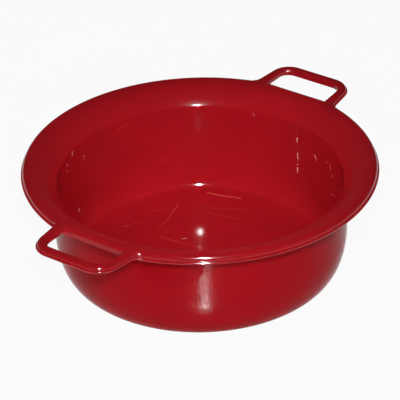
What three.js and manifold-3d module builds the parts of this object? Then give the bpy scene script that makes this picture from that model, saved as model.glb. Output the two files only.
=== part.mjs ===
// A round plastic wash bowl with a flared rim and two loop handles.
// Millimetres, +Z up. The origin is the middle of the base, on the table.
// The rear handle points along +X and the front handle along -X.

import * as THREE from 'three';
import { mergeVertices } from 'three/addons/utils/BufferGeometryUtils.js';
import Module from 'manifold-3d';

// Driving dimensions of the bowl
const RIM_RADIUS = 190; // outermost edge of the rim, at the bead under the lip
const HEIGHT = 125; // table to the crest of the rim
const WALL = 2.4; // thickness of the moulded sheet
const BELLY_RADIUS = 157; // outside of the wall, at its fullest
const CORNER_WIDTH = 18; // the rounding between base and wall, measured inwards
const CORNER_HEIGHT = 45; // the same rounding, measured upwards
const NECK_RADIUS = 155; // outside of the wall where the rim starts to flare
const NECK_ROUNDING = 6; // rounding of the neck, on its inside
const FLARE_HEIGHT = 20; // neck to crest
const FLARE_KNEE = 0.42; // share of the flare's width where its tangents at neck and crest cross
const LIP_HEIGHT = 9; // crest to the lower edge of the turned-down lip
const LIP_ROUNDING = 5; // rounding of the lip's top edge
const BEAD_RADIUS = 1.6; // half-round bead along the lip's lower edge
const FOOT_HEIGHT = 1.6; // how far the foot ring stands below the base
const FOOT_WIDTH = 9; // width of the foot ring

// Driving dimensions of one handle
const HANDLE_PROJECTION = 42.5; // rim edge to the outer edge of the grip bar
const HANDLE_WIDTH = 93; // across the bar's two outer corners, before they are rounded
const FINGER_WIDTH = 75; // clear width of the finger opening at the bar
const BAR_WIDTH = 12; // grip bar, seen from above
const OUTER_FLARE = 6.4; // degrees by which a leg's outer side spreads towards the rim
const INNER_FLARE = 2; // the same for its side along the finger opening
const HANDLE_RISE = 1.2; // bar above the rim's crest
const LOOP_LIP = 6.7; // top of the strip to the lower edge of its lip
const LOOP_SKIRT = 6.8; // top of the strip to its lower edge along the finger opening
const LOOP_WALL = 2; // top and skirt of the hollow strip
const LOOP_ROUNDING = 3.2; // rounding of the strip's outer top edge
const GRIP_ROUNDING = 3.5; // rounding of its top edge along the finger opening
const OUTER_CORNER = 24; // where a leg turns into the bar, outside
const INNER_CORNER = 12.5; // the same corner inside the finger opening
const ROOT_FILLET = 9; // where a leg's outer side runs into the rim
const ROOT_REACH = 0.3; // share of the flare's width that a handle's root runs in over
const OPENING_SETBACK = 5.5; // rim edge back to the straight edge of the finger opening
const SEAM = 0.3; // clearance round a handle's root in the rim

// Fineness of the curved faces
const AROUND = 72; // facets round the bowl
const CORNER_STEPS = 7; // facets along the rounding at the base
const NECK_STEPS = 2;
const FLARE_STEPS = 6;
const LIP_STEPS = 4;
const BEAD_STEPS = 4;
const OUTLINE_STEPS = 7; // facets along a corner of the handle's outline
const LEG_STEPS = 3;
const GRIP_STEPS = 4;
const OVERCUT = 6; // how far cutting bodies reach past what they cut

const RED = 0xa3161d;
const SHEET = { color: RED, roughness: 0.28, metalness: 0 };

const wasm = await Module();
wasm.setup();

// Booleans need a closed mesh with shared corners and no collapsed triangles.
function toSolid(geometry) {
  geometry.deleteAttribute('normal');
  geometry.deleteAttribute('uv');
  const merged = mergeVertices(geometry, 1e-4);
  const index = merged.index.array;
  const kept = [];
  for (let i = 0; i < index.length; i += 3) {
    const [a, b, c] = [index[i], index[i + 1], index[i + 2]];
    if (a !== b && b !== c && c !== a) kept.push(a, b, c);
  }
  return new wasm.Manifold(new wasm.Mesh({
    numProp: 3,
    vertProperties: new Float32Array(merged.attributes.position.array),
    triVerts: new Uint32Array(kept),
  }));
}

function toMesh(name, solid) {
  const { vertProperties, triVerts } = solid.getMesh();
  const geometry = new THREE.BufferGeometry();
  geometry.setAttribute('position', new THREE.BufferAttribute(vertProperties, 3));
  geometry.setIndex(new THREE.BufferAttribute(triVerts, 1));
  geometry.computeVertexNormals();
  const mesh = new THREE.Mesh(geometry, new THREE.MeshStandardMaterial(SHEET));
  mesh.name = name;
  return mesh;
}

// Turns a profile of [radius, height] points, listed clockwise, round the Z axis.
// A profile that starts on the axis ends there too; any other is a ring and closes on itself.
function turn(profile) {
  const ring = profile[0][0] > 0;
  const points = profile.toReversed().map(([r, z]) => new THREE.Vector2(r, z));
  if (ring) points.push(points[0].clone());
  const geometry = new THREE.LatheGeometry(points, AROUND);
  geometry.rotateX(Math.PI / 2);
  return geometry;
}

function prism(shape, bottom, top) {
  const geometry = new THREE.ExtrudeGeometry(shape, { depth: top - bottom, bevelEnabled: false });
  geometry.translate(0, 0, bottom);
  return toSolid(geometry);
}

// Joins closed sections, each a loop of points, into one body. The first and the last section
// stand along a radius of the bowl and are alike, so one triangulation caps both ends.
function loft(sections) {
  const count = sections[0].length;
  const positions = sections.flat().flatMap((point) => point.toArray());
  const index = [];
  for (let row = 0; row < sections.length - 1; row += 1) {
    for (let i = 0; i < count; i += 1) {
      const a = row * count + i;
      const b = row * count + ((i + 1) % count);
      index.push(b, a, a + count, b, a + count, b + count);
    }
  }
  const last = (sections.length - 1) * count;
  const contour = sections[0].map(({ x, y, z }) => new THREE.Vector2(Math.hypot(x, y), z));
  for (const [a, b, c] of THREE.ShapeUtils.triangulateShape(contour, [])) {
    index.push(a, b, c, last + a, last + c, last + b);
  }
  const geometry = new THREE.BufferGeometry();
  geometry.setAttribute('position', new THREE.Float32BufferAttribute(positions, 3));
  geometry.setIndex(index);
  return toSolid(geometry);
}

// Points of a sheet's visible face, each with the normal of that face.
function samples(steps, at) {
  return Array.from({ length: steps + 1 }, (_, i) => at(i / steps));
}

function unit(x, y) {
  const length = Math.hypot(x, y);
  return [x / length, y / length];
}

const QUARTER = Math.PI / 2;
const floorTop = FOOT_HEIGHT + WALL;
const footRadius = BELLY_RADIUS - CORNER_WIDTH;
const neckHeight = HEIGHT - FLARE_HEIGHT;
const skirtRadius = RIM_RADIUS - BEAD_RADIUS;
const crestRadius = skirtRadius - LIP_ROUNDING;
const flareStart = NECK_RADIUS - WALL;
const flareWidth = crestRadius - flareStart;

// The inside of the corner is an ellipse one wall thickness inside the outer one.
const cornerInside = samples(CORNER_STEPS, (share) => {
  const t = share * QUARTER;
  const width = CORNER_WIDTH - WALL;
  const height = CORNER_HEIGHT - WALL;
  return {
    at: [footRadius + width * Math.sin(t), floorTop + height * (1 - Math.cos(t))],
    normal: unit(-height * Math.sin(t), width * Math.cos(t)),
  };
});

// At the neck the sheet turns out of the wall in a tight rounding, towards the flare's knee.
const knee = [flareStart + FLARE_KNEE * flareWidth, HEIGHT];
const neckTurn = Math.atan2(FLARE_KNEE * flareWidth, FLARE_HEIGHT);
const neckStart = neckHeight - NECK_ROUNDING * Math.tan(neckTurn / 2);
const neck = samples(NECK_STEPS, (share) => {
  const t = share * neckTurn;
  return {
    at: [flareStart + NECK_ROUNDING * (1 - Math.cos(t)), neckStart + NECK_ROUNDING * Math.sin(t)],
    normal: [-Math.cos(t), Math.sin(t)],
  };
});

// From there the rim bends over in one long curve until it lies flat at the crest.
const flare = samples(FLARE_STEPS, (share) => {
  const [r, z] = neck.at(-1).at;
  const rest = 1 - share;
  const rises = [rest * (knee[0] - r) + share * (crestRadius - knee[0]), rest * (knee[1] - z)];
  return {
    at: [
      rest ** 2 * r + 2 * rest * share * knee[0] + share ** 2 * crestRadius,
      HEIGHT - rest ** 2 * (HEIGHT - z),
    ],
    normal: unit(-rises[1], rises[0]),
  };
}).slice(1);

const lip = samples(LIP_STEPS, (share) => {
  const t = share * QUARTER;
  return {
    at: [crestRadius + LIP_ROUNDING * Math.sin(t), HEIGHT - LIP_ROUNDING * (1 - Math.cos(t))],
    normal: [Math.sin(t), Math.cos(t)],
  };
}).slice(1);

const rimTop = [...neck, ...flare, ...lip];
const sheetTop = [...cornerInside, ...rimTop];
const behind = ({ at, normal }) => [at[0] - WALL * normal[0], at[1] - WALL * normal[1]];
const lipBottom = HEIGHT - LIP_HEIGHT;
const rimBottom = Math.min(neckHeight, lipBottom);

function bowlProfile() {
  const bead = [];
  for (let i = 0; i <= BEAD_STEPS; i += 1) {
    const t = (i / BEAD_STEPS) * Math.PI;
    bead.push([skirtRadius + BEAD_RADIUS * Math.sin(t), lipBottom + BEAD_RADIUS * (1 + Math.cos(t))]);
  }
  return [
    [0, floorTop],
    ...sheetTop.map(({ at }) => at),
    ...bead,
    [skirtRadius - WALL, lipBottom],
    ...sheetTop.map(behind).reverse(),
    [footRadius, 0],
    [footRadius - FOOT_WIDTH, 0],
    [footRadius - FOOT_WIDTH - FOOT_HEIGHT, FOOT_HEIGHT],
    [0, FOOT_HEIGHT],
  ];
}

// Everything under the flared rim and inside its lip, which a handle's root has to leave free.
function hollowUnderRim() {
  const underside = rimTop.map(behind);
  const below = rimBottom - OVERCUT;
  return toSolid(turn([
    ...underside,
    [skirtRadius - WALL, below],
    [NECK_RADIUS, below],
  ]));
}

const radians = THREE.MathUtils.degToRad;
const ray = (angle) => new THREE.Vector2(Math.cos(angle), Math.sin(angle));
const between = (start, end, share) => start.clone().lerp(end, share);

const barOuter = RIM_RADIUS + HANDLE_PROJECTION;
const barInner = barOuter - BAR_WIDTH;
const openingEdge = RIM_RADIUS - OPENING_SETBACK;
const openingHalf = FINGER_WIDTH / 2 + (barInner - openingEdge) * Math.tan(radians(INNER_FLARE));

// One side of a leg, seen from above: it leaves the bar round a corner and spreads towards the rim.
function legSide(x, y, spread, radius) {
  const sweep = QUARTER - radians(spread);
  const reach = radius * Math.tan(sweep / 2);
  const along = ray(sweep + QUARTER);
  return {
    x,
    radius,
    sweep,
    along,
    centre: new THREE.Vector2(x - radius, y - reach),
    end: new THREE.Vector2(x, y).addScaledVector(along, reach),
  };
}

const outside = legSide(barOuter, HANDLE_WIDTH / 2, OUTER_FLARE, OUTER_CORNER);
const inside = legSide(barInner, FINGER_WIDTH / 2, INNER_FLARE, INNER_CORNER);
const insideRoot = new THREE.Vector2(openingEdge - WALL / 2, openingHalf);

// A root fillet touches the leg's outer side and the rim's edge.
const filletStart = outside.end.clone().addScaledVector(ray(outside.sweep), ROOT_FILLET);
const filletRun = filletStart.dot(outside.along);
const filletGap = filletStart.lengthSq() - (RIM_RADIUS + ROOT_FILLET) ** 2;
const legLength = -filletRun - Math.sqrt(filletRun ** 2 - filletGap);
const filletCentre = filletStart.clone().addScaledVector(outside.along, legLength);
const outsideRoot = outside.end.clone().addScaledVector(outside.along, legLength);
const rootAngle = Math.atan2(filletCentre.y, filletCentre.x);
const rootHalf = RIM_RADIUS * Math.sin(rootAngle);
const rootRadius = crestRadius - ROOT_REACH * flareWidth;
const rootStart = Math.sqrt(rootRadius ** 2 - openingHalf ** 2);

// Places along half of the loop, from the middle of the bar to where its lip is back on the rim.
// Each has a point and a direction for the loop's outer edge and for the edge of the finger opening.
function halfLoop() {
  const places = [{
    outer: new THREE.Vector2(barOuter, 0),
    outward: ray(0),
    inner: new THREE.Vector2(barInner, 0),
    inward: ray(Math.PI),
    merged: 0,
  }];
  for (let i = 0; i <= OUTLINE_STEPS; i += 1) {
    const outward = ray(outside.sweep * i / OUTLINE_STEPS);
    const open = ray(inside.sweep * i / OUTLINE_STEPS);
    places.push({
      outer: outside.centre.clone().addScaledVector(outward, outside.radius),
      outward,
      inner: inside.centre.clone().addScaledVector(open, inside.radius),
      inward: open.negate(),
      merged: 0,
    });
  }
  for (let i = 1; i <= LEG_STEPS; i += 1) {
    places.push({
      outer: between(outside.end, outsideRoot, i / LEG_STEPS),
      outward: ray(outside.sweep),
      inner: between(inside.end, insideRoot, i / LEG_STEPS),
      inward: ray(inside.sweep + Math.PI),
      merged: 0,
    });
  }
  const legFoot = Math.asin(openingHalf / crestRadius);
  const arrive = outside.sweep - Math.PI;
  const leave = rootAngle - Math.PI;
  for (let i = 1; i <= OUTLINE_STEPS; i += 1) {
    const share = i / OUTLINE_STEPS;
    const fillet = ray(arrive + (leave - arrive) * share);
    const crest = ray(legFoot + (rootAngle - legFoot) * share);
    places.push({
      outer: filletCentre.clone().addScaledVector(fillet, ROOT_FILLET),
      outward: fillet.negate(),
      inner: crest.clone().multiplyScalar(crestRadius - WALL),
      inward: crest.negate(),
      merged: share,
    });
  }
  return places;
}

// The strip's section at one place: bead, lip, rounded top, skirt along the opening, and the hollow.
// It turns into the rim's own lip where the loop merges with the rim.
function loopSection({ outer, outward, inner, inward, merged }) {
  const depth = LOOP_LIP + (LIP_HEIGHT - LOOP_LIP) * merged;
  const rounding = LOOP_ROUNDING + (LIP_ROUNDING - LOOP_ROUNDING) * merged;
  const buried = merged > 0;
  const skirt = buried ? WALL - SEAM / 2 : LOOP_SKIRT;
  const grip = buried ? SEAM : GRIP_ROUNDING;
  const sunk = buried ? SEAM : 0;
  const slope = HANDLE_RISE / (barOuter - BEAD_RADIUS - LOOP_ROUNDING - crestRadius);
  const points = [];
  const put = (edge, direction, inset, drop) => {
    const at = edge.clone().addScaledVector(direction, -inset);
    const rise = slope * Math.max(at.x - crestRadius, 0) * (1 - merged);
    points.push(new THREE.Vector3(at.x, at.y, HEIGHT + rise - drop));
  };
  put(outer, outward, BEAD_RADIUS + WALL, depth);
  for (let i = BEAD_STEPS; i >= 0; i -= 1) {
    const t = (i / BEAD_STEPS) * Math.PI;
    put(outer, outward, BEAD_RADIUS * (1 - Math.sin(t)), depth - BEAD_RADIUS * (1 + Math.cos(t)));
  }
  for (let i = 0; i <= LIP_STEPS; i += 1) {
    const t = (i / LIP_STEPS) * QUARTER;
    put(outer, outward, BEAD_RADIUS + rounding * (1 - Math.cos(t)), rounding * (1 - Math.sin(t)));
  }
  for (let i = 0; i <= GRIP_STEPS; i += 1) {
    const t = (i / GRIP_STEPS) * QUARTER;
    put(inner, inward, grip * (1 - Math.sin(t)), sunk + grip * (1 - Math.cos(t)));
  }
  put(inner, inward, 0, skirt);
  put(inner, inward, LOOP_WALL, skirt);
  put(inner, inward, LOOP_WALL, LOOP_WALL);
  put(outer, outward, BEAD_RADIUS + WALL, LOOP_WALL);
  return points;
}

// The two places where a handle's legs are let into the rim, with room around them.
function rootBlocks(room) {
  const blocks = [-1, 1].map((side) => {
    const block = new THREE.Shape();
    const near = side * (openingHalf - room);
    const far = side * (rootHalf + WALL + room);
    block.moveTo(rootStart - room, near);
    block.lineTo(RIM_RADIUS + OVERCUT, near);
    block.lineTo(RIM_RADIUS + OVERCUT, far);
    block.lineTo(rootStart - room, far);
    block.closePath();
    return prism(block, neckHeight - OVERCUT, HEIGHT + OVERCUT);
  });
  return blocks[0].add(blocks[1]);
}

// Along each finger opening the rim has no bead, and its lip is drawn in to a straight edge.
function straightenRim(geometry) {
  const position = geometry.attributes.position;
  for (let i = 0; i < position.count; i += 1) {
    const [x, y, z] = [position.getX(i), position.getY(i), position.getZ(i)];
    const radius = Math.hypot(x, y);
    const onRim = radius > NECK_RADIUS && z > rimBottom;
    const alongOpening = Math.abs(y) < openingHalf && Math.abs(x) > Math.abs(y);
    if (!onRim || !alongOpening) continue;
    const edge = Math.min(openingEdge * radius / Math.abs(x), skirtRadius);
    const share = Math.min((radius - NECK_RADIUS) / (crestRadius - NECK_RADIUS), 1);
    const scale = (Math.min(radius, skirtRadius) + (edge - skirtRadius) * share) / radius;
    position.setXY(i, x * scale, y * scale);
  }
  return geometry;
}

const wholeBowl = toSolid(straightenRim(turn(bowlProfile())));

// One handle: a hollow strip bent into a loop, and the two pieces of rim that carry it.
function buildHandle() {
  const half = halfLoop().map(loopSection);
  const mirrored = half.slice(1).reverse().map((section) => section.map(
    (point) => new THREE.Vector3(point.x, -point.y, point.z),
  ));
  const loop = loft([...mirrored, ...half]).subtract(hollowUnderRim());
  return loop.add(wholeBowl.intersect(rootBlocks(0)));
}

const rearRoots = rootBlocks(SEAM);
const frontRoots = rearRoots.rotate([0, 0, 180]);
const bowlShell = toMesh('bowl_shell', wholeBowl.subtract(rearRoots).subtract(frontRoots));

const handle = buildHandle();
const rearHandle = toMesh('handle_rear', handle);
const frontHandle = toMesh('handle_front', handle);
frontHandle.rotation.z = Math.PI;

const bowl = new THREE.Group();
bowl.add(bowlShell, rearHandle, frontHandle);

export default bowl;
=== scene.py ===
# %% [markdown]
# # A red plastic bowl with two loop handles
#
# The bowl is one injection moulding: a sheet of even thickness with a floor, an almost upright wall, a
# wide flared rim with a turned-down lip, and a hollow loop handle on each side. The solids that carry its
# sizes are already packed, so this lesson starts from them and makes the finished surface around them.

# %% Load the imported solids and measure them
import math
from types import SimpleNamespace

import bmesh
import bpy
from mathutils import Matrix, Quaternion, Vector


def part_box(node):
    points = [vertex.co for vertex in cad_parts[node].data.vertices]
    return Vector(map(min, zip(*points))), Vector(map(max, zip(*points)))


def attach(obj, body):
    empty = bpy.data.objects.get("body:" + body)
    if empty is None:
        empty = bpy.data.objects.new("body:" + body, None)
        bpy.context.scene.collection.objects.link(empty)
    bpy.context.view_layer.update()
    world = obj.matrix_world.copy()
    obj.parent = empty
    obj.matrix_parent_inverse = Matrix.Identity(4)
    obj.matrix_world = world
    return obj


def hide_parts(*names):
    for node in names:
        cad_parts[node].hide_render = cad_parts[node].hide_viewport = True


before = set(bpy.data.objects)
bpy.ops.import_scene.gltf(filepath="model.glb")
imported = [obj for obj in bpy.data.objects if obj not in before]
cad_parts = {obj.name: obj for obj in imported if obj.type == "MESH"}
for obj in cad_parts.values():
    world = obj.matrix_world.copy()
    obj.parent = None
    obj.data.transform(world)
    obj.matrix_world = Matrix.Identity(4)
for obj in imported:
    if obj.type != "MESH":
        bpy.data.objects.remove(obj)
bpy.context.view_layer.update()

MM = 0.001
bowl_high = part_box("bowl_shell")[1]
handle_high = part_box("handle_rear")[1]
RIM_RADIUS = bowl_high.y
HEIGHT = bowl_high.z
HANDLE_TIP = handle_high.x
OPENING_EDGE = bowl_high.x
print(f"rim {2 * RIM_RADIUS / MM:.0f} mm across and {HEIGHT / MM:.0f} mm high")
print(f"handle tips {2 * HANDLE_TIP / MM:.0f} mm apart")

# %% [markdown]
# ## Writing node trees by arithmetic
#
# A Geometry Nodes or shader tree is a graph of sockets. Wiring every Math node by hand hides the formula,
# so a small class stands for a socket here: adding or multiplying two of them makes the Math node and the
# links. The formulas below then read as they would on paper.

# %% Helpers for node trees
def feed(tree, socket, value):
    """Links a wire to a socket, or writes a plain value on it."""
    if isinstance(value, Wire):
        tree.links.new(value.socket, socket)
    else:
        socket.default_value = value


def add_node(tree, kind, inputs=None, **settings):
    """Adds one node, with its settings and its inputs by name or number."""
    node = tree.nodes.new(kind)
    for name, value in settings.items():
        setattr(node, name, value)
    for name, value in (inputs or {}).items():
        feed(tree, node.inputs[name], value)
    return node


class Wire:
    """An output socket. Arithmetic on it adds Math nodes to its tree."""

    def __init__(self, node, output=0):
        self.tree = node.id_data
        self.socket = node.outputs[output]

    def math(self, operation, *others):
        inputs = dict(enumerate((self, *others)))
        return Wire(add_node(self.tree, "ShaderNodeMath", inputs, operation=operation))

    def __add__(self, other):
        return self.math("ADD", other)

    def __sub__(self, other):
        return self.math("SUBTRACT", other)

    def __mul__(self, other):
        return self.math("MULTIPLY", other)


def vector(tree, x=0.0, y=0.0, z=0.0):
    """A vector whose parts may be wires."""
    return Wire(add_node(tree, "ShaderNodeCombineXYZ", {0: x, 1: y, 2: z}))


def vector_math(tree, operation, first, second, output=0):
    node = add_node(tree, "ShaderNodeVectorMath", {0: first, 1: second}, operation=operation)
    return Wire(node, output)


def ramp(tree, value, start, end, low=0.0, high=1.0):
    """A smooth step from low to high while value goes from start to end."""
    inputs = {0: value, 1: start, 2: end, 3: low, 4: high}
    return Wire(add_node(tree, "ShaderNodeMapRange", inputs, interpolation_type="SMOOTHSTEP"))


def mix_colours(tree, share, first, second):
    node = add_node(tree, "ShaderNodeMix", {0: share, 6: first, 7: second}, data_type="RGBA")
    return Wire(node, 2)


print("node helpers ready")

# %% [markdown]
# ## The glossy finish
#
# Polypropylene from a polished mould is smooth and a little uneven, and a bowl in use collects scratches
# and nicked spots inside. An image could hold them, but a pattern made from coordinates has no seams and any
# resolution. Some cells of a Voronoi texture hold one straight scratch: a thin slab through the middle of
# the cell, in a random direction, kept within a ball. The surface cuts each ball at another depth, so the
# lengths differ. The few long scratches on the floor of this bowl, and the chipped rows on its wall, are
# drawn one by one: the mask comes from the distance to a straight line. One noise bends the scratches a
# little, and others break the marks into dashes and dots. The nicked spots and chipped rows are painted a
# pale pink that is partly whitened plastic and partly a painted glint of the lamp.

# %% Scratches from Voronoi cells
def scratches(tree, place, cell, width, reach, share):
    """A mask of short scratches: one in some of the cells, each as long as the cell's ball allows."""
    cells = add_node(tree, "ShaderNodeTexVoronoi", {"Vector": place, "Scale": 1 / cell})
    colour = Wire(cells, "Color")
    offset = vector_math(tree, "SUBTRACT", place, Wire(cells, "Position"))
    turned = vector_math(tree, "SUBTRACT", colour, (0.5, 0.5, 0.5))
    direction = vector_math(tree, "NORMALIZE", turned, (0.0, 0.0, 0.0))
    across = vector_math(tree, "DOT_PRODUCT", offset, direction, "Value").math("ABSOLUTE")
    along = vector_math(tree, "LENGTH", offset, (0.0, 0.0, 0.0), "Value")
    chance = Wire(add_node(tree, "ShaderNodeTexWhiteNoise", {"Vector": colour}), "Value")
    line = ramp(tree, across, 0.4 * width, width, 1.0, 0.0)
    ends = ramp(tree, along, 0.5 * reach, reach, 1.0, 0.0)
    return line * ends * chance.math("LESS_THAN", share)


def drawn_scratch(tree, place, start, end, width):
    """A mask of one straight scratch, its ends in millimetres. Two numbers mean a scratch on the floor."""
    start, end = Vector(start).to_3d() * MM, Vector(end).to_3d() * MM
    run = end - start
    offset = vector_math(tree, "SUBTRACT", place, start)
    share = vector_math(tree, "DOT_PRODUCT", offset, run, "Value") * (1 / run.length_squared)
    within = share.math("MAXIMUM", 0.0).math("MINIMUM", 1.0)
    along = Wire(add_node(tree, "ShaderNodeVectorMath", {0: run, "Scale": within}, operation="SCALE"))
    across = vector_math(tree, "DISTANCE", offset, along, "Value")
    return ramp(tree, across, 0.3 * width, width, 1.0, 0.0)


def noise(tree, place, size, detail=2.0, output="Fac"):
    """Noise whose features are about the given size."""
    inputs = {"Vector": place, "Scale": 1 / size, "Detail": detail}
    return Wire(add_node(tree, "ShaderNodeTexNoise", inputs), output)


print("scratch pattern ready")

# %% Scratches on the floor of the bowl
SCRATCH_WIDTH = 0.8 * MM
DRIFT = 6 * MM
FAINT = 0.5
# Cell size, width and reach of the faint scratches, and the share of cells that hold one.
LONG_MARKS = (46 * MM, 0.30 * MM, 22 * MM, 0.16)
# Start, end and strength of each clear scratch.
FLOOR_SCRATCHES = (
    ((111, 71), (122, 33), 1.0),
    ((83, 54), (108, 12), 0.22),
    ((77, 45), (87, 3), 0.25),
    ((75, 85), (39, 76), 0.28),
    ((39, 76), (14, 72), 0.22),
    ((6, 62), (14, 13), 0.25),
)


def floor_wear(tree, place, bent):
    """A mask of the faint scratches, broken into dashes, and of the clear ones."""
    dashes = ramp(tree, noise(tree, place, 4 * MM), 0.42, 0.56)
    worn = scratches(tree, bent, *LONG_MARKS) * dashes * FAINT
    broken = ramp(tree, noise(tree, place, 6 * MM), 0.35, 0.6, 0.55, 1.0)
    split = add_node(tree, "ShaderNodeSeparateXYZ", {0: bent})
    drawn_place = vector(tree, Wire(split, 0) - DRIFT / 2, Wire(split, 1) - DRIFT / 2)
    for start, end, strength in FLOOR_SCRATCHES:
        mark = drawn_scratch(tree, drawn_place, start, end, SCRATCH_WIDTH)
        worn = worn.math("MAXIMUM", mark * broken * strength)
    return worn


print(len(FLOOR_SCRATCHES), "scratches drawn on the floor")

# %% Chipped rows on the wall, painted partly as glints
CHIP_WIDTH = 1.1 * MM
CHIP_RADIUS = 153 * MM
# Start, end and strength of each chipped row, whose pale colour is partly a painted glint.
WALL_CHIP_AND_GLINT_ROWS = (
    ((151, -24, 92), (151, -26, 44), 1.0),
    ((145, -48, 81), (142, -58, 70), 1.0),
    ((131, -79, 83), (119, -96, 51), 0.5),
    ((-6, 153, 84), (-11, 153, 74), 0.8),
    ((-43, 147, 94), (-45, 146, 82), 0.8),
)


def wall_chips_and_glints(tree, place, radius, nicks_and_glints):
    """A mask of the chipped rows over the nicked spots, painted pale and partly as a glint. Rows are measured
    on the wall's own cylinder.
    """
    split = add_node(tree, "ShaderNodeSeparateXYZ", {0: place})
    out_to_wall = radius.math("POWER", -1.0) * CHIP_RADIUS
    wall_place = vector(tree, Wire(split, 0) * out_to_wall, Wire(split, 1) * out_to_wall, Wire(split, 2))
    dots = ramp(tree, noise(tree, place, 5 * MM), 0.5, 0.58)
    chips_and_glints = nicks_and_glints
    for start, end, strength in WALL_CHIP_AND_GLINT_ROWS:
        mark = drawn_scratch(tree, wall_place, start, end, CHIP_WIDTH)
        chips_and_glints = chips_and_glints.math("MAXIMUM", mark * dots * strength)
    return chips_and_glints


print(len(WALL_CHIP_AND_GLINT_ROWS), "rows of chips drawn on the wall")

# %% The gloss material
RED = (0.41, 0.0078, 0.0135, 1.0)
DEEP_RED = (0.38, 0.0070, 0.0122, 1.0)
WHITENED = (0.82, 0.17, 0.09, 1.0)
# Pale pink of the chipped and nicked spots: partly whitened plastic, partly a painted glint of the lamp.
CHIP_AND_GLINT_PINK = (0.90, 0.48, 0.44, 1.0)
WEAR_RADIUS = 152.5 * MM
WEAR_FADE = 3 * MM
DRIFT_SIZE = 30 * MM
CLOUD_SIZE = 45 * MM
SKIN_SIZE = 2.5 * MM
SKIN_DEPTH = 0.12 * MM
NICK_AND_GLINT_STRENGTH = 0.6
# Cell size, width and reach of the nicked spots, and the share of cells that hold one. Their pale colour is
# partly a painted glint.
NICK_AND_GLINT_CELLS = (19 * MM, 0.45 * MM, 4 * MM, 0.12)


def start_material(name, ior):
    """An empty Principled material, its tree, its shader and its Object coordinates."""
    material = bpy.data.materials.new(name)
    material.use_nodes = True
    tree = material.node_tree
    tree.nodes.clear()
    shader = add_node(tree, "ShaderNodeBsdfPrincipled", {"IOR": ior})
    output = add_node(tree, "ShaderNodeOutputMaterial")
    tree.links.new(shader.outputs[0], output.inputs[0])
    place = Wire(add_node(tree, "ShaderNodeTexCoord"), "Object")
    return material, tree, shader, place


def gloss_finish():
    material, tree, shader, place = start_material("red_gloss", 1.3)
    drift = noise(tree, place, DRIFT_SIZE, 1.0, "Color")
    pulled = Wire(add_node(tree, "ShaderNodeVectorMath", {0: drift, "Scale": DRIFT}, operation="SCALE"))
    bent = vector_math(tree, "ADD", place, pulled)
    split = add_node(tree, "ShaderNodeSeparateXYZ", {0: place})
    flat_place = vector(tree, Wire(split, 0), Wire(split, 1))
    radius = vector_math(tree, "LENGTH", flat_place, (0.0, 0.0, 0.0), "Value")
    inside = ramp(tree, radius, WEAR_RADIUS, WEAR_RADIUS + WEAR_FADE, 1.0, 0.0)
    worn = floor_wear(tree, place, bent) * inside
    # Nicked spots, painted pale, partly as glints of the lamp.
    nicks_and_glints = scratches(tree, bent, *NICK_AND_GLINT_CELLS) * inside * NICK_AND_GLINT_STRENGTH
    chips_and_glints = wall_chips_and_glints(tree, place, radius, nicks_and_glints)
    cloud = ramp(tree, noise(tree, place, CLOUD_SIZE, 3.0), 0.3, 0.7)
    body = mix_colours(tree, cloud, DEEP_RED, RED)
    scratched = mix_colours(tree, worn * 0.9, body, WHITENED)
    # The chipped and nicked spots take the pale pink, which is partly a painted glint.
    feed(tree, shader.inputs["Base Color"], mix_colours(tree, chips_and_glints, scratched, CHIP_AND_GLINT_PINK))
    feed(tree, shader.inputs["Roughness"], cloud * 0.015 + worn * 0.3 - inside * 0.035 + 0.085)
    skin = noise(tree, place, SKIN_SIZE, 2.0) * 0.06
    bump_inputs = {"Strength": 0.35, "Distance": SKIN_DEPTH, "Height": skin - worn - chips_and_glints}
    bump = Wire(add_node(tree, "ShaderNodeBump", bump_inputs))
    feed(tree, shader.inputs["Normal"], bump)
    return material


red_gloss = gloss_finish()
print("made", red_gloss.name, "with", len(red_gloss.node_tree.nodes), "nodes")

# %% [markdown]
# ## The grained outside
#
# Outside, the mould was left with a fine grain, so the wall scatters a lamp into a broken streak. Geometry
# that small would need millions of faces. A slight bump from two noises, one of fine pits and one of
# broader pebbles, gives the streak its width, and a third noise in the roughness breaks it up. Beside the
# front handle there is a smooth, dull oval without grain: an ellipse in the wall's own plane masks all three.

# %% The grain material
OVAL_TURN = math.radians(202.4)
OVAL_HEIGHT = 95 * MM
OVAL_HALVES = (40 * MM, 31 * MM)
GRAIN_RED = (0.41, 0.0045, 0.0105, 1.0)
OVAL_RED = (0.37, 0.0045, 0.0095, 1.0)
PEBBLE_SIZE = 2.8 * MM
PIT_SIZE = 1.2 * MM
SPECKLE_SIZE = 3.1 * MM
GRAIN_DEPTH = 0.12 * MM
GRAIN_ROUGHNESS = 0.10
SPECKLE_ROUGHNESS = 0.12
OVAL_ROUGHNESS = 0.35
GRAIN_SHINE = 0.5
OVAL_SHINE = 0.1


def smooth_oval(tree, place):
    """A mask that is 1 outside the smooth oval on the wall and 0 inside it."""
    outward = (math.cos(OVAL_TURN), math.sin(OVAL_TURN), 0.0)
    sideways = (-outward[1], outward[0], 0.0)
    beside = vector_math(tree, "DOT_PRODUCT", place, sideways, "Value") * (1 / OVAL_HALVES[0])
    height = Wire(add_node(tree, "ShaderNodeSeparateXYZ", {0: place}), 2)
    above = (height - OVAL_HEIGHT) * (1 / OVAL_HALVES[1])
    reach = vector_math(tree, "LENGTH", vector(tree, beside, above), (0.0, 0.0, 0.0), "Value")
    far_side = vector_math(tree, "DOT_PRODUCT", place, outward, "Value").math("LESS_THAN", 0.0)
    return ramp(tree, reach, 0.97, 1.01).math("MAXIMUM", far_side)


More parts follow.
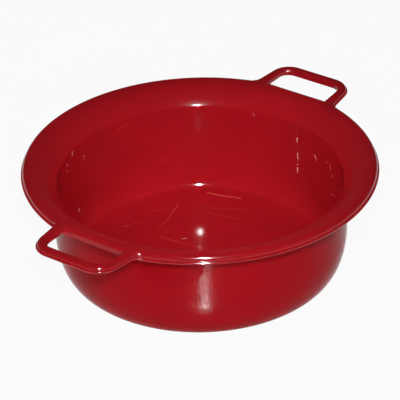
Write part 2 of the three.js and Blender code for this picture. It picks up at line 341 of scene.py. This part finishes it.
def grain_finish():
    material, tree, shader, place = start_material("red_grain", 1.11)
    grained = smooth_oval(tree, place)
    cloud = ramp(tree, noise(tree, place, 60 * MM, 2.0), 0.3, 0.7, 0.6, 1.0)
    pebbles = noise(tree, place, PEBBLE_SIZE, 2.0)
    pits = noise(tree, place, PIT_SIZE, 1.0)
    speckle = ramp(tree, noise(tree, place, SPECKLE_SIZE, 1.0), 0.44, 0.56)
    shade = cloud * (speckle * 0.4 + 0.6) * grained
    feed(tree, shader.inputs["Base Color"], mix_colours(tree, shade, OVAL_RED, GRAIN_RED))
    dulled = speckle * SPECKLE_ROUGHNESS + (GRAIN_ROUGHNESS - OVAL_ROUGHNESS)
    feed(tree, shader.inputs["Roughness"], dulled * grained + OVAL_ROUGHNESS)
    feed(tree, shader.inputs["Specular IOR Level"], grained * (GRAIN_SHINE - OVAL_SHINE) + OVAL_SHINE)
    bump_inputs = {"Strength": grained, "Distance": GRAIN_DEPTH, "Height": pebbles + pits * 0.3}
    bump = Wire(add_node(tree, "ShaderNodeBump", bump_inputs))
    feed(tree, shader.inputs["Normal"], bump)
    return material


red_grain = grain_finish()
print("made", red_grain.name, "with", len(red_grain.node_tree.nodes), "nodes")

# %% [markdown]
# ## The bowl, turned from its profile
#
# A bowl is a profile turned round an axis. Spinning a drawn outline would work once, but a Geometry Nodes
# tree keeps the sizes open: straight stretches and quarter ellipses are placed by formulas, swept round a
# circle, and welded. The inside leans outwards a little above the corner and draws in again to the neck:
# the place where wall and floor together mirror the flash gives that away. Heights are drawn along the
# profile's Y axis, and the sweep turns that axis upright.

# %% Sizes of the bowl's profile
BAR_WIDTH = 12 * MM
FINGER_WIDTH = 75 * MM
INNER_FLARE = math.radians(2)
BAR_INSIDE = HANDLE_TIP - BAR_WIDTH
OPENING_HALF = FINGER_WIDTH / 2 + (BAR_INSIDE - OPENING_EDGE) * math.tan(INNER_FLARE)
BOWL_SIZES = {
    "Rim radius": RIM_RADIUS,
    "Height": HEIGHT,
    "Opening edge": OPENING_EDGE,
    "Opening half": OPENING_HALF,
    "Wall": 2.4 * MM,
    "Belly radius": 157 * MM,
    "Corner width": 18 * MM,
    "Corner height": 45 * MM,
    "Inside corner width": 12.1 * MM,
    "Inside corner height": 36 * MM,
    "Inside bend": 220 * MM,
    "Inside bend height": 72.6 * MM,
    "Neck radius": 155 * MM,
    "Neck rounding": 6 * MM,
    "Flare height": 20 * MM,
    "Flare knee": 0.42,
    "Lip height": 9 * MM,
    "Lip rounding": 5 * MM,
    "Bead radius": 1.6 * MM,
    "Foot height": 1.6 * MM,
    "Foot width": 9 * MM,
}
AROUND = 288
OPENING_BLEND = 4 * MM
QUARTER = math.pi / 2
INSIDE_LEAN = math.radians(4.5)
INSIDE_OVERHANG = math.radians(1.5)
CORNER_SLIMNESS = BOWL_SIZES["Inside corner height"] / BOWL_SIZES["Inside corner width"]
INSIDE_SWEEP = QUARTER - math.atan(math.tan(INSIDE_LEAN) * CORNER_SLIMNESS)
print(len(BOWL_SIZES), "sizes drive the bowl")


# %% Stretches of a profile
def straight(tree, start, end, rings=2):
    ends = {"Start": vector(tree, *start), "End": vector(tree, *end)}
    line = Wire(add_node(tree, "GeometryNodeCurvePrimitiveLine", ends))
    return Wire(add_node(tree, "GeometryNodeResampleCurve", {"Curve": line, "Count": rings}))


def round_corner(tree, centre, radii, start, sweep, rings):
    """Part of an ellipse: an arc of radius 1, stretched and put in place."""
    shape = {"Resolution": rings, "Radius": 1.0, "Start Angle": start, "Sweep Angle": sweep}
    arc = Wire(add_node(tree, "GeometryNodeCurveArc", shape, mode="RADIUS"))
    place = {"Geometry": arc, "Translation": vector(tree, *centre), "Scale": vector(tree, *radii, 1.0)}
    return Wire(add_node(tree, "GeometryNodeTransform", place))


def long_curve(tree, start, knee, end, rings):
    """A curve whose tangents at both ends cross at the knee."""
    points = {"Start": vector(tree, *start), "Middle": vector(tree, *knee), "End": vector(tree, *end)}
    return Wire(add_node(tree, "GeometryNodeCurveQuadraticBezier", {"Resolution": rings, **points}))


def joined(tree, parts):
    node = add_node(tree, "GeometryNodeJoinGeometry")
    for part in reversed(parts):
        tree.links.new(part.socket, node.inputs[0])
    return Wire(node)


def start_tree(name, sizes):
    """An empty tree with one named input per size and the geometry as output."""
    tree = bpy.data.node_groups.new(name, "GeometryNodeTree")
    tree.interface.new_socket("Geometry", in_out="OUTPUT", socket_type="NodeSocketGeometry")
    for label in sizes:
        tree.interface.new_socket(label, in_out="INPUT", socket_type="NodeSocketFloat")
    group_input = add_node(tree, "NodeGroupInput")
    return tree, {label: Wire(group_input, label) for label in sizes}


print("profile stretches ready")

# %% Where the stretches meet
def meeting_lines(size):
    """Radii, heights and points that several stretches share, and the angle that the neck turns through."""
    bend = size["Neck rounding"]
    at = SimpleNamespace(height=size["Height"], wall=size["Wall"], underneath=size["Foot height"])
    at.floor = at.underneath + at.wall
    at.foot = size["Belly radius"] - size["Corner width"]
    at.skirt = size["Rim radius"] - size["Bead radius"]
    at.crest = at.skirt - size["Lip rounding"]
    at.neck_inside = size["Neck radius"] - at.wall
    knee_width = (at.crest - at.neck_inside) * size["Flare knee"]
    at.knee = (at.neck_inside + knee_width, at.height)
    at.turn = knee_width.math("ARCTAN2", size["Flare height"])
    at.sine, at.cosine = at.turn.math("SINE"), at.turn.math("COSINE")
    at.neck_low = at.height - size["Flare height"] - (at.turn * 0.5).math("TANGENT") * bend
    at.bend_centre = (at.neck_inside + bend, at.neck_low)
    at.flare_start = (at.bend_centre[0] - bend * at.cosine, at.neck_low + bend * at.sine)
    return at


print("meeting lines ready")


# %% The inside of the bowl
def inside_wall(tree, size, at):
    """The floor, its corner, and a wall that leans out, bends round and draws in to the neck."""
    corner = (size["Inside corner width"], size["Inside corner height"])
    corner_end = INSIDE_SWEEP - QUARTER
    lean_height = at.floor + corner[1] * (1 + math.sin(corner_end))
    lean_start = (at.foot + corner[0] * math.cos(corner_end), lean_height)
    bend, bend_height = size["Inside bend"], size["Inside bend height"]
    bend_low = bend_height - bend * math.sin(INSIDE_LEAN)
    bend_high = bend_height + bend * math.sin(INSIDE_OVERHANG)
    overhang = (at.neck_low - bend_high) * math.tan(INSIDE_OVERHANG) + bend * (1 - math.cos(INSIDE_OVERHANG))
    centre = (at.neck_inside + overhang - bend, bend_height)
    bend_start = (centre[0] + bend * math.cos(INSIDE_LEAN), bend_low)
    bend_end = (centre[0] + bend * math.cos(INSIDE_OVERHANG), bend_high)
    return [
        straight(tree, (0.0, at.floor), (at.foot, at.floor), 16),
        round_corner(tree, (at.foot, at.floor + corner[1]), corner, -QUARTER, INSIDE_SWEEP, 24),
        straight(tree, lean_start, bend_start, 6),
        round_corner(tree, centre, (bend, bend), -INSIDE_LEAN, INSIDE_LEAN + INSIDE_OVERHANG, 16),
        straight(tree, bend_end, (at.neck_inside, at.neck_low), 6),
    ]


print("inside ready")


# %% The rim
def rim_top(tree, size, at):
    """Round the neck and out along the flare to the crest."""
    bend = size["Neck rounding"]
    return [
        round_corner(tree, at.bend_centre, (bend, bend), 2 * QUARTER, at.turn * -1.0, 10),
        long_curve(tree, at.flare_start, at.knee, (at.crest, at.height), 28),
    ]


def lip(tree, size, at):
    """Over the crest, down the skirt, round the bead and up again on the inside."""
    rounding, bead = size["Lip rounding"], size["Bead radius"]
    centre = (at.crest, at.height - rounding)
    bottom = at.height - size["Lip height"]
    skirt_inside = at.skirt - at.wall
    thin = rounding - at.wall
    return [
        round_corner(tree, centre, (rounding, rounding), QUARTER, -QUARTER, 12),
        straight(tree, (at.skirt, centre[1]), (at.skirt, bottom + bead * 2.0)),
        round_corner(tree, (at.skirt, bottom + bead), (bead, bead), QUARTER, -2 * QUARTER, 14),
        straight(tree, (at.skirt, bottom), (skirt_inside, bottom)),
        straight(tree, (skirt_inside, bottom), (skirt_inside, centre[1])),
        round_corner(tree, centre, (thin, thin), 0.0, QUARTER, 8),
    ]


def rim_underside(tree, size, at):
    """Back along the flare and round the neck, one wall below the top."""
    thin = size["Neck rounding"] - at.wall
    knee = (at.knee[0] + at.wall * at.cosine.math("DIVIDE", at.sine + 1.0), at.height - at.wall)
    flare_end = (at.flare_start[0] + at.wall * at.cosine, at.flare_start[1] - at.wall * at.sine)
    return [
        long_curve(tree, (at.crest, at.height - at.wall), knee, flare_end, 20),
        round_corner(tree, at.bend_centre, (thin, thin), at.turn * -1.0 + 2 * QUARTER, at.turn, 8),
    ]


print("rim ready")


# %% The outside and the foot
def outside_wall(tree, size, at):
    """From the neck down the wall and round the corner to the foot."""
    corner = (size["Corner width"], size["Corner height"])
    centre = (at.foot, at.underneath + corner[1])
    return [
        straight(tree, (size["Neck radius"], at.neck_low), (centre[0] + corner[0], centre[1]), 12),
        round_corner(tree, centre, corner, 0.0, -QUARTER, 24),
    ]


def foot_ring(tree, size, at):
    """Down the ring, across it, and in under the floor to the axis."""
    inside = at.foot - size["Foot width"]
    return [
        straight(tree, (at.foot, at.underneath), (at.foot, 0.0)),
        straight(tree, (at.foot, 0.0), (inside, 0.0)),
        straight(tree, (inside, 0.0), (inside - at.underneath, at.underneath)),
        straight(tree, (inside - at.underneath, at.underneath), (0.0, at.underneath), 12),
    ]


print("outside ready")


# %% The turned bowl's tree
WELD_DISTANCE = 0.01 * MM


def turned(tree, profile, rim, finish):
    """Sweeps a joined profile round the axis. The path is the rim's circle, so radii count from there."""
    inward = {"Geometry": profile, "Translation": vector(tree, rim * -1.0), "Scale": (1.0, -1.0, 1.0)}
    drawn = Wire(add_node(tree, "GeometryNodeTransform", inward))
    circle = Wire(add_node(tree, "GeometryNodeCurvePrimitiveCircle", {"Resolution": AROUND, "Radius": rim}))
    path = Wire(add_node(tree, "GeometryNodeSetCurveNormal", {"Curve": circle}, mode="Z_UP"))
    skin = Wire(add_node(tree, "GeometryNodeCurveToMesh", {"Curve": path, "Profile Curve": drawn}))
    return Wire(add_node(tree, "GeometryNodeSetMaterial", {"Geometry": skin, "Material": finish}))


def straight_openings(tree, skin, size, at):
    """Draws the lip in to a straight edge without a bead along both finger openings."""
    split = add_node(tree, "ShaderNodeSeparateXYZ", {0: Wire(add_node(tree, "GeometryNodeInputPosition"))})
    x, y, z = (Wire(split, axis) for axis in range(3))
    radius = vector_math(tree, "LENGTH", vector(tree, x, y), (0.0, 0.0, 0.0), "Value")
    half, neck = size["Opening half"], size["Neck radius"]
    beside = ramp(tree, y.math("ABSOLUTE"), half, half + OPENING_BLEND, 1.0, 0.0)
    facing = x.math("ABSOLUTE").math("GREATER_THAN", y.math("ABSOLUTE"))
    chosen = beside * facing * z.math("GREATER_THAN", at.neck_low)
    share = (radius - neck).math("DIVIDE", at.crest - neck).math("MAXIMUM", 0.0).math("MINIMUM", 1.0)
    edge = (size["Opening edge"] * radius).math("DIVIDE", x.math("ABSOLUTE")).math("MINIMUM", at.skirt)
    drawn = radius.math("MINIMUM", at.skirt) + (edge - at.skirt) * share
    scale = (drawn.math("DIVIDE", radius) - 1.0) * chosen + 1.0
    place = {"Geometry": skin, "Position": vector(tree, x * scale, y * scale, z)}
    return Wire(add_node(tree, "GeometryNodeSetPosition", place))


def bowl_tree():
    tree, size = start_tree("turned_bowl", BOWL_SIZES)
    at = meeting_lines(size)
    stretches = []
    for part in (inside_wall, rim_top, lip, rim_underside, foot_ring):
        stretches += part(tree, size, at)
    glossy, grained = joined(tree, stretches), joined(tree, outside_wall(tree, size, at))
    shells = [
        turned(tree, glossy, size["Rim radius"], red_gloss),
        turned(tree, grained, size["Rim radius"], red_grain),
    ]
    weld = {"Geometry": joined(tree, shells), "Distance": WELD_DISTANCE}
    welded = Wire(add_node(tree, "GeometryNodeMergeByDistance", weld))
    opened = straight_openings(tree, welded, size, at)
    whole = Wire(add_node(tree, "GeometryNodeRealizeInstances", {"Geometry": opened}))
    output = add_node(tree, "NodeGroupOutput")
    tree.links.new(whole.socket, output.inputs[0])
    return tree


turned_bowl = bowl_tree()
print("turned_bowl has", len(turned_bowl.nodes), "nodes")

# %% [markdown]
# A tree is run by a modifier. The sizes go in by each socket's identifier before the object is first
# evaluated, and new_from_object then keeps the result as a plain mesh with no modifier on it.

# %% Run the tree and keep a plain mesh
SMOOTH_BELOW = math.radians(40)


def finish_mesh(name, mesh):
    """Smooth faces with sharp edges kept, faces outwards, on an object at the origin."""
    work = bmesh.new()
    work.from_mesh(mesh)
    bmesh.ops.recalc_face_normals(work, faces=work.faces)
    if work.calc_volume(signed=True) < 0:
        bmesh.ops.reverse_faces(work, faces=work.faces)
    litres = work.calc_volume() * 1000
    open_edges = sum(not edge.is_manifold for edge in work.edges)
    work.to_mesh(mesh)
    work.free()
    mesh.shade_smooth()
    mesh.set_sharp_from_angle(angle=SMOOTH_BELOW)
    mesh.name = name
    piece = bpy.data.objects.new(name, mesh)
    bpy.context.scene.collection.objects.link(piece)
    print(f"{name}: {len(mesh.polygons)} faces, {litres:.3f} litres of plastic, {open_edges} open edges")
    return piece


def run_tree(tree, sizes):
    carrier = bpy.data.objects.new("carrier", bpy.data.meshes.new("carrier"))
    bpy.context.scene.collection.objects.link(carrier)
    modifier = carrier.modifiers.new("nodes", "NODES")
    modifier.node_group = tree
    for item in tree.interface.items_tree:
        if item.in_out == "INPUT":
            modifier[item.identifier] = sizes[item.name]
    evaluated = carrier.evaluated_get(bpy.context.evaluated_depsgraph_get())
    mesh = bpy.data.meshes.new_from_object(evaluated)
    bpy.data.objects.remove(carrier)
    return mesh


bowl = finish_mesh("bowl", run_tree(turned_bowl, BOWL_SIZES))

# %% [markdown]
# ## The loop handles
#
# The rim's lip doesn't stop at a handle: it leaves the rim in a fillet, runs round the outside of the loop
# and comes back, and a plain skirt edges the finger opening. So the section keeps its parts but changes
# its width and depth on the way. A sweep holds one section, so this piece is a loft instead: each station
# along the outline gives one closed loop of points, and neighbouring loops are joined by faces.

# %% Sizes of a handle
HANDLE_WIDTH = 93 * MM
OUTER_FLARE = math.radians(6.4)
OUTER_CORNER = 24 * MM
INNER_CORNER = 12.5 * MM
ROOT_FILLET = 9 * MM
HANDLE_RISE = handle_high.z - HEIGHT
LOOP_LIP = 6.7 * MM
LOOP_SKIRT = 6.8 * MM
LOOP_WALL = 2 * MM
LOOP_ROUNDING = 3.2 * MM
GRIP_ROUNDING = 3.5 * MM
BURIED = 1.5 * MM

WALL = BOWL_SIZES["Wall"]
BEAD = BOWL_SIZES["Bead radius"]
LIP = BOWL_SIZES["Lip rounding"]
LIP_HEIGHT = BOWL_SIZES["Lip height"]
CREST_RADIUS = RIM_RADIUS - BEAD - LIP
RISE_SLOPE = HANDLE_RISE / (HANDLE_TIP - BEAD - LOOP_ROUNDING - CREST_RADIUS)
print(f"finger opening {2 * OPENING_HALF / MM:.1f} mm wide at the rim")
print(f"grip bar {HANDLE_RISE / MM:.1f} mm above the rim")


# %% One section of the handle
def arc_steps(start, end, steps):
    return [start + (end - start) * i / steps for i in range(steps + 1)]


def section(outer, outward, inner, inward, merged):
    """A closed loop of points round the hollow strip: bead, lip, top, the skirt along the opening, hollow."""
    depth = LOOP_LIP + (LIP_HEIGHT - LOOP_LIP) * merged
    rounding = LOOP_ROUNDING + (LIP - LOOP_ROUNDING) * merged
    skirt = BURIED if merged else LOOP_SKIRT
    grip = BURIED / 3 if merged else GRIP_ROUNDING
    skirt_wall = BURIED / 2 if merged else LOOP_WALL
    points = []

    def put(edge, direction, inset, drop):
        at = edge - direction * inset
        rise = RISE_SLOPE * max(at.x - CREST_RADIUS, 0) * (1 - merged)
        points.append(Vector((at.x, at.y, HEIGHT + rise - drop)))

    put(outer, outward, BEAD + WALL, depth)
    for angle in arc_steps(-QUARTER, QUARTER, 12):
        put(outer, outward, BEAD - BEAD * math.cos(angle), depth - BEAD - BEAD * math.sin(angle))
    for angle in arc_steps(0, QUARTER, 12):
        put(outer, outward, BEAD + rounding * (1 - math.cos(angle)), rounding * (1 - math.sin(angle)))
    for angle in arc_steps(0, QUARTER, 10):
        put(inner, inward, grip * (1 - math.sin(angle)), grip * (1 - math.cos(angle)))
    put(inner, inward, 0, skirt)
    put(inner, inward, skirt_wall, skirt)
    put(inner, inward, skirt_wall, min(LOOP_WALL, skirt))
    put(outer, outward, BEAD + WALL, LOOP_WALL)
    return points


print("section ready")


# %% Stations along half a handle
def smooth(share):
    share = min(max(share, 0), 1)
    return share * share * (3 - 2 * share)


def ray(angle):
    return Vector((math.cos(angle), math.sin(angle)))


def leg_side(x, y, spread, radius):
    """One side of a leg, seen from above: the corner's centre, its end, and the way on towards the rim."""
    sweep = QUARTER - spread
    reach = radius * math.tan(sweep / 2)
    along = ray(sweep + QUARTER)
    return Vector((x - radius, y - reach)), Vector((x, y)) + along * reach, along, sweep


outer_side = leg_side(HANDLE_TIP, HANDLE_WIDTH / 2, OUTER_FLARE, OUTER_CORNER)
inner_side = leg_side(BAR_INSIDE, FINGER_WIDTH / 2, INNER_FLARE, INNER_CORNER)
outer_centre, outer_end, outer_along, outer_sweep = outer_side
inner_centre, inner_end, _, inner_sweep = inner_side
fillet_start = outer_end + ray(outer_sweep) * ROOT_FILLET
fillet_run = fillet_start.dot(outer_along)
fillet_gap = fillet_start.length_squared - (RIM_RADIUS + ROOT_FILLET) ** 2
leg_length = -fillet_run - math.sqrt(fillet_run ** 2 - fillet_gap)
fillet_centre = fillet_start + outer_along * leg_length
outer_root = outer_end + outer_along * leg_length
inner_root = Vector((OPENING_EDGE - WALL / 2, OPENING_HALF))
root_angle = math.atan2(fillet_centre.y, fillet_centre.x)
print(f"a leg is {(outer_root.y - inner_root.y) / MM:.1f} mm wide at the rim")


# %% Sections from the middle of the bar to the rim
def half_handle():
    """Stops where the lip is back on the rim. Outer and inner edge turn by their own angles."""
    stations = []
    for y in arc_steps(0, outer_centre.y, 6)[:-1]:
        inner = Vector((BAR_INSIDE, y * inner_centre.y / outer_centre.y))
        stations.append(section(Vector((HANDLE_TIP, y)), ray(0), inner, -ray(0), 0))
    for share in arc_steps(0, 1, 20):
        outward, open_side = ray(outer_sweep * share), ray(inner_sweep * share)
        outer = outer_centre + outward * OUTER_CORNER
        inner = inner_centre + open_side * INNER_CORNER
        stations.append(section(outer, outward, inner, -open_side, 0))
    for share in arc_steps(0, 1, 6)[1:]:
        outer = outer_end.lerp(outer_root, share)
        inner = inner_end.lerp(inner_root, share)
        stations.append(section(outer, ray(outer_sweep), inner, -ray(inner_sweep), 0))
    arrive = outer_sweep - math.pi
    leave = root_angle - math.pi
    leg_foot = math.asin(OPENING_HALF / CREST_RADIUS)
    for share in arc_steps(0, 1, 20)[1:]:
        turned_in = ray(arrive + (leave - arrive) * share)
        crest = ray(leg_foot + (root_angle - leg_foot) * share)
        outer = fillet_centre + turned_in * ROOT_FILLET
        stations.append(section(outer, -turned_in, crest * CREST_RADIUS, -crest, smooth(share)))
    return stations


rear_half = half_handle()
print(len(rear_half), "stations of", len(rear_half[0]), "points in half a handle")


# %% [markdown]
# Where a leg reaches the rim, its top runs on over the flange as a low tongue that fades out inwards. It
# is lofted the same way, on the flange's own curve, and its underside stays inside the sheet.

# %% The tongues where the legs run in over the rim
LEG_WIDTH = outer_root.y - inner_root.y
TONGUE_RISE = 0.5 * MM
TONGUE_END = 171.5 * MM
TONGUE_FADE = 7 * MM
TONGUE_EDGE_SHARE = 1 / 8
TONGUE_SINK = 0.02 * MM
NECK_INSIDE = BOWL_SIZES["Neck radius"] - WALL
FLARE_HEIGHT = BOWL_SIZES["Flare height"]
KNEE_WIDTH = BOWL_SIZES["Flare knee"] * (CREST_RADIUS - NECK_INSIDE)


def flange_height(radius):
    """Height of the rim's upper face on the long curve between neck and crest."""
    beyond = CREST_RADIUS - NECK_INSIDE - 2 * KNEE_WIDTH
    run = min(radius, CREST_RADIUS) - NECK_INSIDE
    share = run / (KNEE_WIDTH + math.sqrt(KNEE_WIDTH ** 2 + beyond * run))
    return HEIGHT - FLARE_HEIGHT * (1 - share) ** 2


def tongue(side):
    loops = []
    for radius in arc_steps(CREST_RADIUS + LIP / 2, TONGUE_END, 14):
        x = math.sqrt(radius ** 2 - (OPENING_HALF + LEG_WIDTH / 2) ** 2)
        rise = TONGUE_RISE * smooth((radius - TONGUE_END) / TONGUE_FADE)
        loop = []
        for share in arc_steps(0, 1, 16):
            y = side * (OPENING_HALF + LEG_WIDTH * share)
            edge = smooth(min(share, 1 - share) / TONGUE_EDGE_SHARE)
            ground = flange_height(math.hypot(x, y))
            loop.append(Vector((x, y, min(ground + rise * edge, HEIGHT) - TONGUE_SINK)))
        sunk = [point - Vector((0, 0, BURIED)) for point in reversed(loop)]
        loops.append(loop + sunk)
    return loops


print(f"tongues end {TONGUE_END / MM:.1f} mm from the axis")


# %% Loft the loops into a handle
def add_loft(work, loops):
    rows = [[work.verts.new(point) for point in loop] for loop in loops]
    for near, far in zip(rows, rows[1:]):
        for i in range(len(near)):
            work.faces.new((near[i - 1], near[i], far[i], far[i - 1]))
    work.faces.new(rows[0])
    work.faces.new(reversed(rows[-1]))


def make_handle(name, turn):
    """Both halves of the loop and its two tongues, turned about the bowl's axis."""
    mirrored = [[Vector((p.x, -p.y, p.z)) for p in loop] for loop in rear_half[:0:-1]]
    work = bmesh.new()
    for loops in (mirrored + rear_half, tongue(1), tongue(-1)):
        add_loft(work, [[Vector((turn * p.x, turn * p.y, p.z)) for p in loop] for loop in loops])
    mesh = bpy.data.meshes.new(name)
    work.to_mesh(mesh)
    work.free()
    mesh.materials.append(red_gloss)
    return finish_mesh(name, mesh)


rear_loop = make_handle("rear_loop", 1)
front_loop = make_handle("front_loop", -1)

# %% [markdown]
# ## What each piece stands for
#
# The bowl has no joint, so every piece rides on the one body, root. Each finished piece replaces the solid
# that it dresses, which stays behind for collision.

# %% Hand the pieces to the frame
for piece, node in ((bowl, "bowl_shell"), (rear_loop, "handle_rear"), (front_loop, "handle_front")):
    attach(piece, "root")
    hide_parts(node)
    print(piece.name, "stands for", node)

# %% [markdown]
# ## Floor, light and camera
#
# The picture was lit by one small lamp just above the lens, in a room with soft light. Small lamps make
# the crisp highlights. The broad ones only fill, so they are kept out of reflections. The table was shiny
# enough to mirror the lamp onto the outer wall: a tall lamp below the floor stands for that mirror image.
# Bounced rays meet the floor first, so that lamp is reached by direct sampling alone.

# %% The floor
CAMERA_TURN = math.radians(-54)
CAMERA_LIFT = math.radians(31.5)
AIM = Vector((0, 0, 75.8 * MM))
FLOOR_SIZE = 12.0
FLOOR_GLOW = 0.93


def towards(turn, lift):
    """Unit vector from the bowl towards something at this turn about the axis and lift over the floor."""
    return Vector((math.sin(turn) * math.cos(lift), -math.cos(turn) * math.cos(lift), math.sin(lift)))


def make_floor():
    mesh = bpy.data.meshes.new("floor")
    half = FLOOR_SIZE / 2
    corners = [(-half, -half, 0), (half, -half, 0), (half, half, 0), (-half, half, 0)]
    mesh.from_pydata(corners, [], [(0, 1, 2, 3)])
    floor = bpy.data.objects.new("floor", mesh)
    bpy.context.scene.collection.objects.link(floor)
    material, tree, shader, _ = start_material("pale_floor", 1.01)
    shader.inputs["Roughness"].default_value = 0.9
    shader.inputs["Base Color"].default_value = (0.9, 0.9, 0.9, 1.0)
    path = add_node(tree, "ShaderNodeLightPath")
    seen = Wire(path, "Is Camera Ray") + Wire(path, "Is Glossy Ray") + Wire(path, "Is Transmission Ray")
    share = seen.math("MINIMUM", 1.0) * FLOOR_GLOW
    glow = add_node(tree, "ShaderNodeEmission", {"Color": (1.0, 1.0, 1.0, 1.0), "Strength": 1.0})
    mixed = add_node(tree, "ShaderNodeMixShader", {0: share, 1: Wire(shader), 2: Wire(glow)})
    output = next(node for node in tree.nodes if node.type == "OUTPUT_MATERIAL")
    tree.links.new(mixed.outputs[0], output.inputs[0])
    mesh.materials.append(material)
    floor.visible_shadow = False
    return floor


make_floor()
print("floor", FLOOR_SIZE, "m across")


# %% Lamps
def place_lamp(data, place, direction):
    lamp = bpy.data.objects.new(data.name, data)
    lamp.location = place
    lamp.rotation_euler = direction.to_track_quat("Z", "Y").to_euler()
    lamp.visible_camera = False
    bpy.context.scene.collection.objects.link(lamp)
    return lamp


def add_disk(name, turn, lift, distance, size, watts):
    """A round lamp that faces the bowl, at a turn from the camera and a lift over the floor, in degrees."""
    data = bpy.data.lights.new(name, "AREA")
    data.shape = "DISK"
    data.size = size
    data.energy = watts
    direction = towards(CAMERA_TURN + math.radians(turn), math.radians(lift))
    return place_lamp(data, AIM + direction * distance, direction)


# Turn and lift in degrees, distance and size in metres, watts.
FILLS = (
    ("flash", 1.2, 36, 2.2, 0.16, 20),
    ("front", 0, 27, 2.6, 1.6, 17),
    ("left", -105, 15, 2.6, 1.6, 13),
    ("right", 105, 15, 2.6, 1.6, 8),
    ("back", 180, 12, 2.6, 1.6, 16),
)
GLINTS = (
    ("flash_glint", 1.2, 36, 2.2, 0.09, 500),
    ("table_glint", 1.2, -33, 2.2, 0.03, 40),
)
TABLE_GLINT_HEIGHT = 0.6
for fill in FILLS:
    add_disk(*fill).visible_glossy = False
for glint in GLINTS:
    add_disk(*glint).visible_diffuse = False
table_glint = bpy.data.lights["table_glint"]
table_glint.shape = "ELLIPSE"
table_glint.size_y = TABLE_GLINT_HEIGHT
table_glint.cycles.use_multiple_importance_sampling = False
print(len(FILLS), "soft lamps and", len(GLINTS), "glints")

# %% [markdown]
# The deep inside would be darker than the rim. Two lamps reach only in there: a spot from straight above,
# whose cone ends at the wall, and a faint one over the mouth, so low that it grazes the rim. The near side
# of the rim leans away from the camera's lamps, so a third one reaches it from behind.

# %% Lamps for the inside and the near rim
UP = Vector((0, 0, 1))
NEAR_RIM_RADIUS = 165 * MM
RIM_LAMP_DISTANCE = 2.2
SOFT_SIZE = 0.1


def add_spot(name, watts, cone, blend, place, direction):
    """A round cone of light. The direction points back from what it lights, and the cone is in degrees."""
    data = bpy.data.lights.new(name, "SPOT")
    data.energy = watts
    data.spot_size = math.radians(cone)
    data.spot_blend = blend
    data.shadow_soft_size = SOFT_SIZE
    return place_lamp(data, place, direction)


mouth_data = bpy.data.lights.new("mouth_fill", "POINT")
mouth_data.energy = 0.09
mouth_data.shadow_soft_size = SOFT_SIZE / 2
near_rim = towards(CAMERA_TURN, 0) * NEAR_RIM_RADIUS + UP * HEIGHT
behind = towards(CAMERA_TURN + math.pi, math.radians(45))
inside_lamps = (
    add_spot("inside_spot", 30, 11.5, 0.25, UP * 1.6, UP),
    place_lamp(mouth_data, UP * 0.15, UP),
    add_spot("rim_spot", 80, 9, 1.0, near_rim + behind * RIM_LAMP_DISTANCE, behind),
)
for lamp in inside_lamps:
    lamp.visible_glossy = False
print(len(inside_lamps), "lamps for the inside and the near rim")

# %% The room
world = bpy.data.worlds.new("room")
world.use_nodes = True
background = world.node_tree.nodes["Background"]
background.inputs["Color"].default_value = (0.03, 0.03, 0.03, 1.0)
scene = bpy.context.scene
scene.world = world
scene.view_settings.view_transform = "Standard"
print("room light", background.inputs["Strength"].default_value)

# %% [markdown]
# The camera's place was found by fitting the rim's ellipse, the foot and the handles in the photograph. A
# long lens from far away gives the flat perspective, and the camera is rolled a little.

# %% Camera
CAMERA_DISTANCE = 2.45
IMAGE_WIDTH = 400
FOCAL_PIXELS = 2288
SHIFT_PIXELS = 0.7
CAMERA_ROLL = math.radians(-1.31)
camera_data = bpy.data.cameras.new("camera")
camera_data.sensor_fit = "HORIZONTAL"
camera_data.lens = FOCAL_PIXELS * camera_data.sensor_width / IMAGE_WIDTH
camera_data.shift_x = -SHIFT_PIXELS / IMAGE_WIDTH
camera = bpy.data.objects.new("camera", camera_data)
view = towards(CAMERA_TURN, CAMERA_LIFT)
camera.location = AIM + view * CAMERA_DISTANCE
camera.rotation_mode = "QUATERNION"
camera.rotation_quaternion = view.to_track_quat("Z", "Y") @ Quaternion((0, 0, 1), CAMERA_ROLL)
scene.collection.objects.link(camera)
scene.camera = camera
print(f"lens {camera_data.lens:.0f} mm, {CAMERA_DISTANCE} m away")
